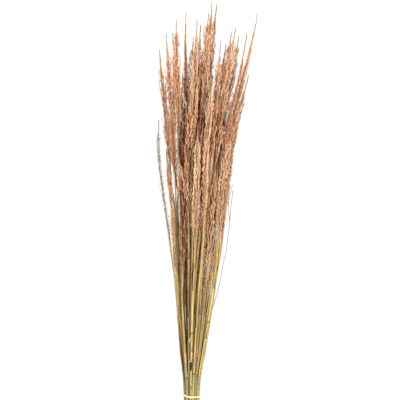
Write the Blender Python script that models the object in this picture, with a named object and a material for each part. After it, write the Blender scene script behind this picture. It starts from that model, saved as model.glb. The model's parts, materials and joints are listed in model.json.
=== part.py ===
"""A tied bundle of dried bentgrass, lying on a flat surface.

The stalks run along +Y from their cut ends to their seed heads, +X is to the right of the bundle
seen from above, and +Z is up. The origin is on the surface, under the middle of the bundle.
Each grass stalk grew as one piece, from its hollow stem up to its seed head, and is one solid.
"""
import math

import bmesh
import bpy
import numpy as np

MM = 0.001

# Driving dimensions, in millimetres. Heights are measured along the bundle from its cut ends.
BUNDLE_LENGTH = 709.0
STALK_COUNT = 50
STEM_RADIUS = 1.36
SHEATH_RADIUS = 1.9
NECK_RADIUS = 0.95
HEAD_RADIUS = 6.4
HEAD_LENGTH = 262.0
# Gap between neighbours where the tie holds them, and higher up, where they stand looser.
CLEARANCE = 0.35
LOOSE_CLEARANCE = 1.0

# Edges and thickness of the fan that the stalks spread into, at a few heights.
FAN_HEIGHTS = (0, 14, 51, 93, 178, 276, 360, 445, 543, 642, 709)
FAN_LEFT = (-13, -13, -15, -21, -30, -35, -40, -48, -52, -53, -50)
FAN_RIGHT = (13, 13, 16, 25, 40, 53, 61, 73, 91, 108, 118)
FAN_THICKNESS = (31, 31, 38, 46, 57, 66, 74, 82, 86, 86, 84)

# Tips that stand out of the top of the bundle: distance to the right, and height.
TALL_TIPS = (
    (-57, 624), (-45, 651), (-34, 654), (-27, 675), (-10, 688), (3, 645), (10, 675), (16, 668),
    (31, 689), (36, 709), (45, 705), (52, 638), (61, 635), (71, 656), (78, 662), (84, 650),
    (98, 651), (117, 688), (101, 579), (92, 547),
)
# They lie from the underside up to this share of the fan's thickness, and below their seed heads
# they run nearer to its middle.
TALL_UPPERMOST = 0.5
TALL_GATHER = 0.84
# One thin, grey-green stalk strays out of the left side: its way up, as heights and distances.
STRAY_TIP = (-57, 501)
STRAY_HEAD_RADIUS = 4.0
STRAY_HEIGHTS = (0, 60, 150, 264, 317, 369, 426, 484, 501)
STRAY_WAY = (-11, -14, -21, -35, -42, -50, -57.5, -60, -57)
# Two straw-pale heads lie uppermost, and the other tips stand lower, the lowest of them on the
# side that faces up.
UPPERMOST_TIPS = ((38, 575), (11, 494))
SHORT_TIPS = (420, 640)
UNDERSIDE_SKEW = 0.6
UPPER_SIDE_SKEW = 1.9

# The elastic band round the stems.
TIE_HEIGHT = 13.2
TIE_WIDTH = 3.6
TIE_THICKNESS = 1.5
TIE_STEPS = 32
TIE_RISE = 3.5

# Mesh of a stalk. Above the tie a stem has a ring wherever it bends by more than a share of the
# gap to its neighbours. Every other corner of a ring in the seed head is a spikelet's tip, lifted
# by a share of the ring spacing and reaching a share of the head's radius.
SIDES = 6
TIED_RING_HEIGHTS = (10, 20, 40)
BEND_TOLERANCE = 0.52
HEAD_RINGS = 20
SPIKELET_LIFT = (0.35, 0.85)
SPIKELET_REACH = (0.72, 1.0)
RING_TWIST = 0.3
VALLEY = 0.55
SMOOTH_ANGLE = 65.0

# How far stalks stray from an even spread, as a share of the fan's half width.
PLACE_JITTER = 0.15
# How far a stalk may sway from its straight way between its ends, in millimetres.
SWAY = 5.0

# Heights at which the stalks are kept clear of each other, and the seed of all random draws.
STATION_STEP = 10.0
STATIONS = np.arange(0.0, BUNDLE_LENGTH + STATION_STEP, STATION_STEP)
SETTLING_ROUNDS = 700
SEED = 31
GOLDEN_ANGLE = math.pi * (3.0 - math.sqrt(5.0))

STRAW_COLOUR = (0.66, 0.42, 0.24)
CHAFF_COLOURS = ((0.56, 0.29, 0.15), (0.62, 0.36, 0.20), (0.50, 0.24, 0.12), STRAW_COLOUR)
# How the four are mixed: mostly copper and rust, some tan, a little straw.
CHAFF_MIX = (0, 0, 0, 1, 1, 2, 2, 2, 1, 3)
STRAY_COLOUR = (0.38, 0.35, 0.24)
TIE_COLOUR = (0.86, 0.76, 0.55)


class Stalk:
    """One grass stalk: where it starts and ends, and how thick it is on the way."""

    def __init__(self, name, across, up, tip, rng):
        self.name = name
        self.across = across
        self.up = up
        self.tip = tip
        self.cut = rng.uniform(0.0, 4.0)
        self.head_length = HEAD_LENGTH * rng.uniform(0.86, 1.12)
        self.head_radius = HEAD_RADIUS * rng.uniform(0.84, 1.0)
        self.stem_radius = STEM_RADIUS * rng.uniform(0.88, 1.08)
        self.sheath_radius = SHEATH_RADIUS * rng.uniform(0.85, 1.1)
        self.neck_radius = NECK_RADIUS * rng.uniform(0.9, 1.1)
        self.sway = rng.uniform(-SWAY, SWAY, 2)
        self.sway_length = rng.uniform(380.0, 700.0)
        self.sway_start = rng.uniform(0.0, 2.0 * math.pi)
        self.colour = CHAFF_COLOURS[CHAFF_MIX[rng.integers(len(CHAFF_MIX))]]
        self.gather = 1.0
        self.path = None

    @property
    def head_start(self):
        return self.tip - self.head_length

    def outer_radius(self, heights):
        """Radius at each height: stem, stem in its leaf sheaths, bare neck, slender pointed head."""
        sheathed = (30.0, 90.0, self.head_start - 40.0, self.head_start)
        widths = (self.stem_radius, self.sheath_radius, self.sheath_radius, self.neck_radius)
        stem = np.interp(heights, sheathed, widths)
        along = (heights - self.head_start) / self.head_length
        swell = np.clip(0.3 + along / 0.4, 0.0, 1.0)
        taper = np.clip((1.0 - along) / 0.45, 0.001, 1.0) ** 0.8
        return np.where(along < 0.0, stem, np.maximum(self.head_radius * swell * taper, 0.5))

    def present(self, heights):
        """True at the heights where the stalk has material."""
        return (heights > self.cut - STATION_STEP) & (heights < self.tip + STATION_STEP)

    def centre(self, height):
        """Middle of the stalk at a height: to the right, and above the surface."""
        right = np.interp(height, STATIONS, self.path[:, 0])
        above = np.interp(height, STATIONS, self.path[:, 1])
        return right, above


def fan_middle(heights):
    """Middle of the fan at each height, and half its width and thickness there."""
    left = np.interp(heights, FAN_HEIGHTS, FAN_LEFT)
    right = np.interp(heights, FAN_HEIGHTS, FAN_RIGHT)
    thickness = np.interp(heights, FAN_HEIGHTS, FAN_THICKNESS)
    return (left + right) / 2.0, (right - left) / 2.0, thickness / 2.0


def sunflower(count):
    """Evenly spread places in a unit disc."""
    order = np.arange(count)
    reach = np.sqrt((order + 0.5) / count)
    turn = order * GOLDEN_ANGLE
    return np.stack([reach * np.cos(turn), reach * np.sin(turn)], axis=1)


def plan_stalks(rng):
    """Give every stalk its place across the fan and its tip."""
    stalks = []
    for right, height in TALL_TIPS + (STRAY_TIP,) + UPPERMOST_TIPS:
        middle, half_width, _ = fan_middle(height)
        across = (right - middle) / half_width
        depth = math.sqrt(max(0.1, 1.0 - across * across))
        share = np.interp(math.sin(len(stalks) * GOLDEN_ANGLE), (-1.0, 1.0), (-1.0, TALL_UPPERMOST))
        uppermost = (right, height) in UPPERMOST_TIPS
        up = depth * (1.1 if uppermost else share)
        stalks.append(Stalk(f"stalk_{len(stalks) + 1:02d}", across, up, height, rng))
        if (right, height) in TALL_TIPS:
            stalks[-1].gather = TALL_GATHER
        elif (right, height) == STRAY_TIP:
            stalks[-1].head_radius = STRAY_HEAD_RADIUS
            stalks[-1].colour = STRAY_COLOUR
        else:
            stalks[-1].colour = STRAW_COLOUR
    lowest, highest = SHORT_TIPS
    for across, up in sunflower(STALK_COUNT - len(stalks)):
        skew = UPPER_SIDE_SKEW if up > 0.0 else UNDERSIDE_SKEW
        height = lowest + (highest - lowest) * rng.uniform() ** skew
        jitter = rng.uniform(-PLACE_JITTER, PLACE_JITTER, 2)
        name = f"stalk_{len(stalks) + 1:02d}"
        stalks.append(Stalk(name, across + jitter[0], up + jitter[1], height, rng))
    return stalks


def flattening(stalk):
    """How much further down the fan's underside reaches than a round one: it lies on a surface."""
    if stalk.up > 0.0:
        return 1.0
    power = 2.0 + 4.0 * np.clip(STATIONS / 250.0, 0.0, 1.0)
    aside = min(abs(stalk.across), 0.98)
    return (1.0 - aside ** power) ** (1.0 / power) / math.sqrt(1.0 - aside * aside)


def wished_paths(stalks):
    """The way each stalk would take if the others weren't there."""
    middle, half_width, half_thick = fan_middle(STATIONS)
    paths = []
    for stalk in stalks:
        radius = np.minimum(stalk.outer_radius(STATIONS), HEAD_RADIUS)
        share = np.clip(STATIONS / stalk.tip, 0.0, 1.0)
        free = 6.75 * share ** 2 * (1.0 - share)
        wave = free * np.sin(STATIONS / stalk.sway_length * 2.0 * math.pi + stalk.sway_start)
        gather = np.interp(STATIONS, (0.0, 250.0, stalk.tip), (1.0, stalk.gather, 1.0))
        right = middle + (half_width - radius) * stalk.across * gather + wave * stalk.sway[0]
        if stalk.colour == STRAY_COLOUR:
            right = np.interp(STATIONS, STRAY_HEIGHTS, STRAY_WAY)
        above = half_thick + (half_thick - radius) * stalk.up * flattening(stalk) + wave * stalk.sway[1]
        paths.append(np.stack([right, above], axis=1))
    return np.array(paths)


def smoothed(values):
    """Spread each correction along its stalk, so that the stalk bends and doesn't kink."""
    weights = np.array([1.0, 2.0, 3.0, 4.0, 5.0, 4.0, 3.0, 2.0, 1.0]) / 25.0
    reach = len(weights) // 2
    padded = np.pad(values, ((0, 0), (reach, reach), (0, 0)), mode="edge")
    count = values.shape[1]
    return sum(w * padded[:, i:i + count] for i, w in enumerate(weights))


def clearance_at(heights):
    """Gap between neighbours at each height."""
    return np.interp(heights, (50.0, 110.0), (CLEARANCE, LOOSE_CLEARANCE))


def settle(stalks):
    """Press the stalks into the fan until none touches another or the surface."""
    wished = wished_paths(stalks)
    paths = wished.copy()
    radii = np.array([stalk.outer_radius(STATIONS) for stalk in stalks])
    present = np.array([stalk.present(STATIONS) for stalk in stalks])
    needed = radii[:, None] + radii[None] + clearance_at(STATIONS)
    paired = present[:, None] & present[None] & ~np.eye(len(stalks), dtype=bool)[:, :, None]
    band_under = TIE_THICKNESS * np.exp(-((STATIONS / 60.0) ** 2))
    lowest = radii + band_under
    for step in range(SETTLING_ROUNDS):
        pull = 0.06 * max(0.0, 1.0 - step / (0.6 * SETTLING_ROUNDS))
        paths += pull * (wished - paths)
        apart = paths[:, None] - paths[None]
        distance = np.maximum(np.linalg.norm(apart, axis=3), 1e-6)
        overlap = np.where(paired, np.maximum(needed - distance, 0.0), 0.0)
        push = 0.5 * (apart / distance[..., None] * overlap[..., None]).sum(axis=1)
        push[..., 1] += np.where(present, np.maximum(lowest - paths[..., 1] - push[..., 1], 0.0), 0.0)
        paths += smoothed(push)
    for stalk, path in zip(stalks, paths):
        stalk.path = path


def ring_corners(stalk, height, spacing, parity, rng):
    """Corners of one ring of the seed head, with every other one raised to a spikelet's tip."""
    corners = []
    twist = rng.uniform(-RING_TWIST, RING_TWIST)
    for side in range(SIDES):
        raised = (side + parity) % 2 == 0
        lift = rng.uniform(*SPIKELET_LIFT) if raised else 0.0
        level = min(height + spacing * lift, stalk.tip - 1.0)
        share = rng.uniform(*SPIKELET_REACH) if raised else VALLEY
        reach = max(float(stalk.outer_radius(np.array(level))) * share, 0.45)
        corners.append(corner(stalk, level, reach, side + twist))
    return corners


def corner(stalk, height, reach, side):
    turn = 2.0 * math.pi * (side + 0.5) / SIDES
    right, above = stalk.centre(height)
    return (right + reach * math.cos(turn), height, above + reach * math.sin(turn))


def stem_ring_heights(stalk):
    """Heights of the rings of a stem: where the band holds it, and wherever it bends."""
    chosen = [stalk.cut, *TIED_RING_HEIGHTS, stalk.head_start]
    free = STATIONS[(STATIONS > TIED_RING_HEIGHTS[-1]) & (STATIONS < stalk.head_start - STATION_STEP)]
    middles = np.stack(stalk.centre(free), axis=1)
    while True:
        straight = np.stack([np.interp(free, chosen, way) for way in stalk.centre(chosen)], axis=1)
        away = np.linalg.norm(middles - straight, axis=1) / clearance_at(free)
        if away.max() < BEND_TOLERANCE:
            return chosen
        chosen = sorted(chosen + [float(free[away.argmax()])])


def stalk_rings(stalk, rng):
    """All rings of a stalk, from its cut end up to just under its tip."""
    rings = []
    spacing = stalk.head_length / (HEAD_RINGS + 1)
    for height in stem_ring_heights(stalk):
        reach = float(stalk.outer_radius(np.array(height - 1e-6)))
        rings.append([corner(stalk, height, reach, side) for side in range(SIDES)])
    for index in range(HEAD_RINGS):
        height = stalk.head_start + spacing * (index + 0.7)
        rings.append(ring_corners(stalk, height, spacing, index, rng))
    return rings


def principled(name, colour):
    material = bpy.data.materials.new(name)
    material.use_nodes = True
    shader = material.node_tree.nodes["Principled BSDF"]
    shader.inputs["Base Color"].default_value = (*colour, 1.0)
    shader.inputs["Roughness"].default_value = 0.75
    shader.inputs["Metallic"].default_value = 0.0
    return material


def add_object(name, mesh_data, colour, origin):
    """Make an object from a bmesh whose corners are in millimetres."""
    bmesh.ops.translate(mesh_data, verts=mesh_data.verts, vec=[-value for value in origin])
    bmesh.ops.scale(mesh_data, verts=mesh_data.verts, vec=(MM, MM, MM))
    bmesh.ops.recalc_face_normals(mesh_data, faces=mesh_data.faces)
    mesh = bpy.data.meshes.new(name)
    mesh_data.to_mesh(mesh)
    mesh_data.free()
    mesh.shade_smooth()
    mesh.set_sharp_from_angle(angle=math.radians(SMOOTH_ANGLE))
    mesh.materials.append(principled(name, colour))
    thing = bpy.data.objects.new(name, mesh)
    bpy.context.scene.collection.objects.link(thing)
    return thing


def stalk_mesh(stalk, rng):
    """Skin the rings of a stalk into one closed solid."""
    shape = bmesh.new()
    rings = [[shape.verts.new(point) for point in ring] for ring in stalk_rings(stalk, rng)]
    shape.faces.new(rings[0])
    head_first = len(rings) - HEAD_RINGS
    for index, (lower, upper) in enumerate(zip(rings, rings[1:])):
        parity = index - head_first
        for side in range(SIDES):
            after = (side + 1) % SIDES
            a, b, c, d = lower[side], lower[after], upper[after], upper[side]
            valley_first = (side + parity) % 2 == 1
            if valley_first:
                shape.faces.new((a, b, c))
                shape.faces.new((a, c, d))
            else:
                shape.faces.new((a, b, d))
                shape.faces.new((b, c, d))
    right, above = stalk.centre(stalk.tip)
    tip = shape.verts.new((right, stalk.tip, above))
    last = rings[-1]
    for side in range(SIDES):
        shape.faces.new((last[side], last[(side + 1) % SIDES], tip))
    return shape


def outline_reach(stalks, turn, height):
    """Distance from the tie's middle to the stretched outline of the stems, one way round."""
    middle = tie_middle(stalks)
    centres = np.array([stalk.centre(height) for stalk in stalks]) - middle
    radii = np.array([stalk.stem_radius for stalk in stalks])
    facing = turn + np.radians(np.linspace(-80.0, 80.0, 65))
    directions = np.stack([np.cos(facing), np.sin(facing)])
    reach = (centres @ directions + radii[:, None]).max(axis=0)
    return (reach / np.cos(facing - turn)).min()


def tie_middle(stalks):
    centres = np.array([stalk.centre(TIE_HEIGHT) for stalk in stalks])
    return (centres.min(axis=0) + centres.max(axis=0)) / 2.0


def tie_mesh(stalks):
    """The band: a flat-sided ring drawn tight round the stems, flattened where it lies."""
    middle = tie_middle(stalks)
    half = TIE_WIDTH / 2.0
    section = (
        (0.0, -0.8 * half), (0.5 * TIE_THICKNESS, -half), (TIE_THICKNESS, -0.7 * half),
        (TIE_THICKNESS, 0.7 * half), (0.5 * TIE_THICKNESS, half), (0.0, 0.8 * half),
    )
    shape = bmesh.new()
    loops = []
    for step in range(TIE_STEPS):
        turn = 2.0 * math.pi * step / TIE_STEPS
        rise = TIE_RISE * max(0.0, -math.cos(turn)) ** 3
        edges = (TIE_HEIGHT + rise - half, TIE_HEIGHT + rise + half)
        ways = (turn - math.pi / TIE_STEPS, turn, turn + math.pi / TIE_STEPS)
        inner = max(outline_reach(stalks, way, edge) for way in ways for edge in edges) + CLEARANCE
        loop = []
        for out, along in section:
            reach = inner + out
            above = max(middle[1] + reach * math.sin(turn), 0.0)
            point = (middle[0] + reach * math.cos(turn), TIE_HEIGHT + rise + along, above)
            loop.append(shape.verts.new(point))
        loops.append(loop)
    for step in range(TIE_STEPS):
        near, far = loops[step], loops[(step + 1) % TIE_STEPS]
        for index in range(len(section)):
            after = (index + 1) % len(section)
            shape.faces.new((near[index], near[after], far[after], far[index]))
    return shape


def clear_scene():
    for thing in list(bpy.data.objects):
        bpy.data.objects.remove(thing, do_unlink=True)


def main():
    clear_scene()
    rng = np.random.default_rng(SEED)
    stalks = plan_stalks(rng)
    settle(stalks)
    shapes = [(stalk.name, stalk_mesh(stalk, rng), stalk.colour) for stalk in stalks]
    shapes.append(("tie", tie_mesh(stalks), TIE_COLOUR))
    corners = np.array([vert.co for _, shape, _ in shapes for vert in shape.verts])
    low, high = corners.min(axis=0), corners.max(axis=0)
    origin = ((low[0] + high[0]) / 2.0, (low[1] + high[1]) / 2.0, low[2])
    for name, shape, colour in shapes:
        add_object(name, shape, colour, origin)


main()
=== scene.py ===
"""A tied bundle of dried bentgrass, finished for the camera.

Each stalk is modelled straight, along +Y from its cut end, and then laid along the way that its solid
takes. Sizes are in millimetres until a mesh is made.
"""
import json
import math

import bpy
import numpy as np
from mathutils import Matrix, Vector


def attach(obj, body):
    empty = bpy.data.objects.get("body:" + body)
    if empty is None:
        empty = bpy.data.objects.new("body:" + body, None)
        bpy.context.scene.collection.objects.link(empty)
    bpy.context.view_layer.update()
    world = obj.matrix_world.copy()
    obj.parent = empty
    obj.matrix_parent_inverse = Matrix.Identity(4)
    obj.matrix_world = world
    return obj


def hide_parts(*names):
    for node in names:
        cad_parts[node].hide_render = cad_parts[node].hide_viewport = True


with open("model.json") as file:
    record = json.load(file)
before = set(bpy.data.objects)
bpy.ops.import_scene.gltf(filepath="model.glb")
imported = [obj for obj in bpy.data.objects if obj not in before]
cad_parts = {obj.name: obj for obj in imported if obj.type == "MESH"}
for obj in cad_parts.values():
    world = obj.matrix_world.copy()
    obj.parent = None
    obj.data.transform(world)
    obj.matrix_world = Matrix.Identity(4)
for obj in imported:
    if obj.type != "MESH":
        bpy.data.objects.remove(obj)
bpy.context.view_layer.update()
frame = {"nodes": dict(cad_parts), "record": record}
MM = 0.001
SEED = 58
GOLDEN_ANGLE = math.pi * (3.0 - math.sqrt(5.0))

# What each corner carries for its material: its tone, how far along a husk or how ripe a stem it is, how
# dark a mark or how deep in the head, how far up the head, and how deep in the bundle. The depths darken
# the colour as painted shade, and on straw the marks also paint shade into a cut end's bore and a split
# sheath.
VALUES = ("tone", "along", "mark", "rise", "buried")
STRAW, CHAFF = 0, 1  # the two materials of a stalk
FIBRE_STRETCH = (1.0, 45.0, 1.0)  # fibres of straw are this much longer than wide
HUSK_STRETCH = (1.0, 8.0, 1.0)
GRAIN_SHIFT = 50.0  # moves the fibres, so that no two stems look the same

# Culm, leaf sheaths and joints, with profiles as (height, share of the stem's radius)
CULM_SIDES = 8
RIM_SHARE = 0.92
RIM_HEIGHT = 0.6
BORE_SHARE = 0.55
BORE_DEPTH = 4.0
BORE_LIP = 0.2
BORE_REACH = 1.05  # corners near the cut end are the bore's if they lie closer to the middle than this
# The inside of the bore is painted dark, as painted shade in the hollow
BORE_SHADE = 0.9
FIRST_JOINT = (28.0, 120.0)
JOINT_SPACING = (85.0, 150.0)
JOINT_SWELL = 1.2
JOINT_PROFILE = ((-2.2, 0.97), (-0.8, JOINT_SWELL), (0.8, JOINT_SWELL), (2.4, 1.0))
JOINT_MARGIN = 5.0
JOINT_HALF = 1.6
JOINT_MARKS = (0.2, 0.8)
NECK_LENGTH = 70.0  # without joints, under the head
BARE_SHARE = 0.8  # how thick the culm is above its sheath
BARE_LEAST = 12.0
SHEATH_COVERS = (0.55, 0.95)  # of the way to the next joint
SHEATH_PROFILE = ((-4.0, 1.0), (-0.3, 1.06), (0.3, BARE_SHARE))
SHEATH_MARGIN = 25.0  # to the head
SHEATH_EDGE = (0.6, 0.5)  # width and mark
RING_SPACING = 24.0
AXIS_RINGS = 16  # up through the head
AXIS_SHARE = 0.7
AXIS_TAPER = 1.2
AXIS_RADIUS = 0.46  # at the head's tip
WELD = 0.0005  # corners closer than this are one

# Dried leaf blades
BLADES = 5
BLADE_WIDTHS = (0.35, 0.95)
BLADE_LENGTHS = (90.0, 230.0)
BLADE_MARGIN = 30.0  # to the head's tip
BLADE_STEPS = 10
BLADE_ROOT = 3.0  # below the sheath's edge
BLADE_HALVES = (0.45, 0.08)  # at its base, as a share of the widest, and at its tip
BLADE_WIDENS = 3.0
BLADE_TAPER = 0.45
BLADE_SEAT = (2.2, 0.1)  # it starts no further out than this, and this far off the stem
BLADE_LIFT = 1.3
LIFT_VARIES = (0.3, 1.0)
BLADE_TWIST = 1.2
BLADE_WAVE = 0.3
BLADE_WAVES = (4.0, 9.0)
BLADE_TONES = (0.05, 0.25, 0.5, 0.78)
BLADE_VARIES = 0.06
BLADE_RIPE = 0.15
RIBBON_THICKNESS = 0.24
RIBBON_FOLD = 0.3  # of its half width

# Seed head: plumes of spikelets on branches that hug the stem
HEAD_LENGTHS = (218.0, 300.0)
BRANCHED_SHARE = 0.92  # of the head's length
BRANCH_SPACING = 5.6
BRANCH_JITTER = 2.0
BRANCH_LENGTHS = (78.0, 24.0)  # at the head's foot and at its tip
BRANCH_SHORTENS = 0.8  # 1 is evenly, from foot to tip
BRANCH_VARIES = (0.7, 1.05)
BRANCH_TURN = 0.3  # at most, off the golden angle
BRANCH_SPREADS = (0.78, 1.12)  # times the head's own reach
TIGHT_BRANCHES = (0.25, 0.5)  # this share of them spreads only this much
BRANCH_BOW = 2.2
BRANCH_NEAREST = 0.15  # to the stem's middle
THREAD_RADIUS = 0.2
THREAD_TAPER = 0.4
THREAD_RIPE = 0.1
SPIKELET_RINGS = ((0.6, 0.9, 0.6), (0.1, 0.4, 1.1))  # (from, to, width) along a spikelet
SPIKELET_SIZE = (1.35, 7.6, 1.05)
SPIKELET_SPACING = 2.05
SPIKELET_SPAN = (0.14, 0.95)  # of a branch
SPIKELET_SIZES = (0.75, 1.1)
SPIKELET_HALF = 0.9  # room for it inside the head's reach
SPIKELET_LEAN = 0.26  # at most, outward
SPIKELET_STRAYS = 0.08
PLUME_SPREAD = 0.75
PLUME_STRETCH = (1.0, 1.5, 1.0)
PLUME_JITTER = 0.02
FULL_REACH = 5.0  # spikelets are smaller and closer where the head is narrower than this
LEAST_NARROW = 0.15
LEAST_REACH = 1.5  # of a head, for telling how deep in it a spikelet lies
BURIED_SPREAD = 0.3  # deep in the bundle the plumes spread this much more,
BURIED_GROWTH = 0.5  # and the spikelets are this much larger
LOOSE_BRANCHES = 4
LOOSE_LENGTHS = (32.0, 60.0)
LOOSE_REACH = (1.2, 2.0)  # times the head's own reach
LOOSE_HIGHEST = 0.75
LOOSE_SIZES = (0.45, 0.75)
LOOSE_LEAN = 0.2
LOOSE_JITTER = 0.3

# Outline of a head, as (where it starts below the tip, slope), and the heads that differ
WISP_LENGTH = 36.0
WISP_REACH = 0.6
WISP_SLOPE = 0.03
WISP_SHARE = 0.6  # of the wisp's length beyond the shoulder's start stays thin
WISP_SPACING = 2.0
WISP_SIZES = (0.8, 0.6)
WISP_TURN = 2.6  # from each spikelet to the next
WISP_RADIUS = 0.25
WISP_LEAN = 0.1
WISP_END = 4.2  # room for the last spikelet
SHOULDER = (21.0, 0.19)
SHOULDER_LOWEST = 60.0  # above the head's foot
BLUNT_SHOULDER = (13.0, 0.32)
BLUNT_HEADS = ("stalk_04", "stalk_06", "stalk_09", "stalk_14", "stalk_15", "stalk_16", "stalk_21")
SLIM_HEADS = ("stalk_05", "stalk_17", "stalk_18")
SLIM_WIDENS = (92.0, 0.06)  # they stay as thin as a wisp down to here
HEAD_REACH = 6.0
FOOT_SHARE = 0.5  # of the solid's reach, at the head's foot
FOOT_LENGTH = 90.0
TIP_OVERHANG = 3.5
STRAY = "stalk_21"  # thin and sparse, and it stands off at the left
EDGE_HEADS = ("stalk_41", "stalk_49")  # at the left edge, with daylight beside them
EDGE_SHIFT = 4.6  # to the left, all of it from this far above the head's foot:
EDGE_EASE = 45.0
NARROW_REACH = 3.8  # of the stray and of the heads at the edge
LEANING_HEAD = "stalk_17"  # it leans against the tall head at its right
LEAN_SPAN = (55.0, 95.0, 225.0, 265.0)
LEAN = 2.2
FLOOR_GAP = 0.3
FLOOR_SOFTNESS = 2.0  # depth over which what would reach into the floor is pressed flat

# Where tones shift over the bundle: 0 is the darkest tone, 1 the palest
STEM_VARIES = 0.18
STEM_TONES = (0.02, 0.84)
FOOT_HEIGHTS = (0.0, 30.0, 65.0, 130.0, 190.0)
FOOT_TONES = (0.26, 0.23, -0.11, -0.2, -0.08)
RIPENS = (110.0, 150.0)  # from this far below the head, over this length
HEAD_VARIES = 0.13
SPIKELET_VARIES = 0.05
LOOSE_PALER = 0.2
LOOSE_VARIES = 0.1
WISP_VARIES = 0.1
GREEN_SIDE = (-24.0, -180.0)  # (right, up) of the line where the greener stems begin
GREEN_WIDTH = 25.0
GREEN_SHARE = 0.7
GREEN_TONE = 0.74
# Left stems painted paler: partly paler straw, partly painted light against the shade of the heads above
PALE_EDGE = (0.35, 0.4)  # paler by this for each green width to the left, over this many
BROWN_WIDTH = 60.0
BROWN_SHIFT = 0.08
BROWN_LEAST = -0.3
CROWD = (12, 37)  # so few stalks bury nothing, and so many bury the middle fully
SKIN = 3.0
BURIED = (1.4, 1.7)  # at the middle, and how much less at the skin
BURY_SPAN = (-350.0, 360.0)
BURY_STEP = 10.0
OPEN_END = 14.0  # daylight reaches this far in from the cut ends
AIRY_TOP = (20.0, 240.0)  # the heads spread and let more and more light in
AIRY_SHARE = 0.3
AIRY_HEADS = (160.0, 260.0)  # up here it also reaches the middle of each head
AIRY_DEPTH = 0.65
DAYLIT_STEMS = ("stalk_01", "stalk_02")  # light comes in between them from the left
DAYLIT_SPAN = (-220.0, -160.0)
DAYLIT_SHARE = 0.1
# Their stems are painted at least this pale, as painted light
DAYLIT_TONE = 0.7
# These heads are darkened over this span through the depth that the materials darken as painted shade:
# partly their own darker chaff, partly painted shade
DARK_HEADS = ("stalk_30", "stalk_33", "stalk_46")
DARK_SPAN = (-175.0, -140.0, -5.0, 40.0)
DARK_DEPTH = 0.58

# Loose bits, as (right, up) on the surface
HAIR = ((17.8, -155.8), (20.4, -143.5), (23.9, -125.9), (28.3, -103.1), (31.8, -90.8), (35.3, -64.4),
        (38.9, -38.0), (41.5, -2.8), (45.0, 23.6))
HAIR_TWIG = ((38.6, -30.0), (36.4, 6.0), (44.6, 34.0))
HAIR_RADIUS = 0.75
HAIR_ROOT = 40.0  # it leaves its stalk this far below
HAIR_LIFTS = (6.0, 5.0)  # of the hair's end and of the twig
HAIR_TAPER = (1.0, 0.85)  # shares of its radius
TWIG_TAPER = (0.9, 0.6)
HAIR_TONE = 0.84
HAIR_MARKS = (0.6, 0.7)  # of the hair and of the twig
HAIR_SPIKELETS = 14
HAIR_BEARS = (0.45, 1.0)  # spikelets over this part of the twig
HAIR_SIZES = (0.4, 0.65)
BLADE_BITS = (
    ((-31.4, -243.5), (-29.6, -238.0), (-26.6, -230.5)),
    ((-31.0, -246.5), (-32.2, -239.0), (-32.6, -229.0)),
    ((-33.0, -279.5), (-30.0, -277.6), (-27.4, -279.0)))
BIT_HALVES = (1.0, 0.4)
BIT_LIFT = 1.6
BIT_TONE = 1.1
BIT_RESTS = 5.0  # on the highest stalk within this width
SPLIT_SHEATH = (-29.7, -286.0)
SPLIT_LIFT = 0.8
SPLIT_RESTS = 3.0
SPLIT_STEPS = 9
SPLIT_BLUNT = 1.02  # its ends aren't quite sharp
# Its dark strip, which is painted shade for the gap inside it, and its two pale lips, as (offset, half
# width, half length, tone, mark, lift)
SPLIT_STRIPS = (
    (0.0, 2.5, 9.0, 0.0, 1.0, 0.0), (-2.9, 0.4, 12.0, 0.9, 0.0, 0.25), (2.9, 0.4, 12.0, 0.7, 0.0, 0.25))

# How each kind of stalk looks: its tones, and for the thin stray how full, slim and ripe it is
LOOKS = {
    "rust_grass": {"stem": 0.33, "chaff": 0.4},
    "copper_grass": {"stem": 0.41, "chaff": 0.46},
    "tan_grass": {"stem": 0.51, "chaff": 0.56},
    "straw_grass": {"stem": 0.61, "chaff": 0.64},
    "grey_green_grass": {
        "stem": 0.7, "chaff": 0.34, "fullness": (0.14, 0.5), "slim": 0.35, "ripe": 0.25},
}
STRAW_TONES = (
    (0.0, "#5A4024"), (1.0, "#C4C28E"), (0.16, "#84683C"), (0.3, "#A88B56"), (0.42, "#BA9C6C"),
    (0.54, "#B6A26A"), (0.68, "#B8AC74"), (0.84, "#A69F64"))
COPPER_CHAFF = (
    (0.0, "#8C4E2C"), (1.0, "#EADAB8"), (0.2, "#B06E46"), (0.4, "#CC8F68"), (0.55, "#D6A47E"),
    (0.7, "#DCB48C"), (0.85, "#E2C69E"))
GREY_GREEN_CHAFF = ((0.0, "#564A2A"), (1.0, "#C8BA8C"), (0.35, "#7E6F44"), (0.65, "#A29264"))
LATEX_TONES = ((0.3, "#C2AC7E"), (0.75, "#DECFA6"))

# Photograph's frame: 400 pixels high, over the middle of the bundle
PICTURE_PIXELS = 400
PIXEL = 1.759
PICTURE_MIDDLE = (-13.05, 6.0)
CAMERA_HEIGHT = 8000.0
FOCUS_HEIGHT = 40.0
SENSOR = 36.0
LIT_SPOT = (0.0, 0.0, 0.03)


# Small tools

def linear(code):
    """Linear colour of an sRGB hex code."""
    values = [int(code[i:i + 2], 16) / 255.0 for i in (1, 3, 5)]
    return [v / 12.92 if v <= 0.04045 else ((v + 0.055) / 1.055) ** 2.4 for v in values] + [1.0]


def deselect():
    for thing in bpy.context.selected_objects:
        thing.select_set(False)


def edit(thing):
    """Open an object's mesh for editing, with all of it selected."""
    deselect()
    thing.select_set(True)
    bpy.context.view_layer.objects.active = thing
    bpy.ops.object.mode_set(mode="EDIT")
    bpy.ops.mesh.select_all(action="SELECT")


def corners_of(mesh):
    corners = np.empty(len(mesh.vertices) * 3)
    mesh.vertices.foreach_get("co", corners)
    return corners.reshape(-1, 3)


def triangles_of(mesh):
    """Corners of a mesh's triangles, in millimetres."""
    mesh.calc_loop_triangles()
    order = np.empty(len(mesh.loop_triangles) * 3, int)
    mesh.loop_triangles.foreach_get("vertices", order)
    return corners_of(mesh)[order].reshape(-1, 3, 3) / MM


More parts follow.
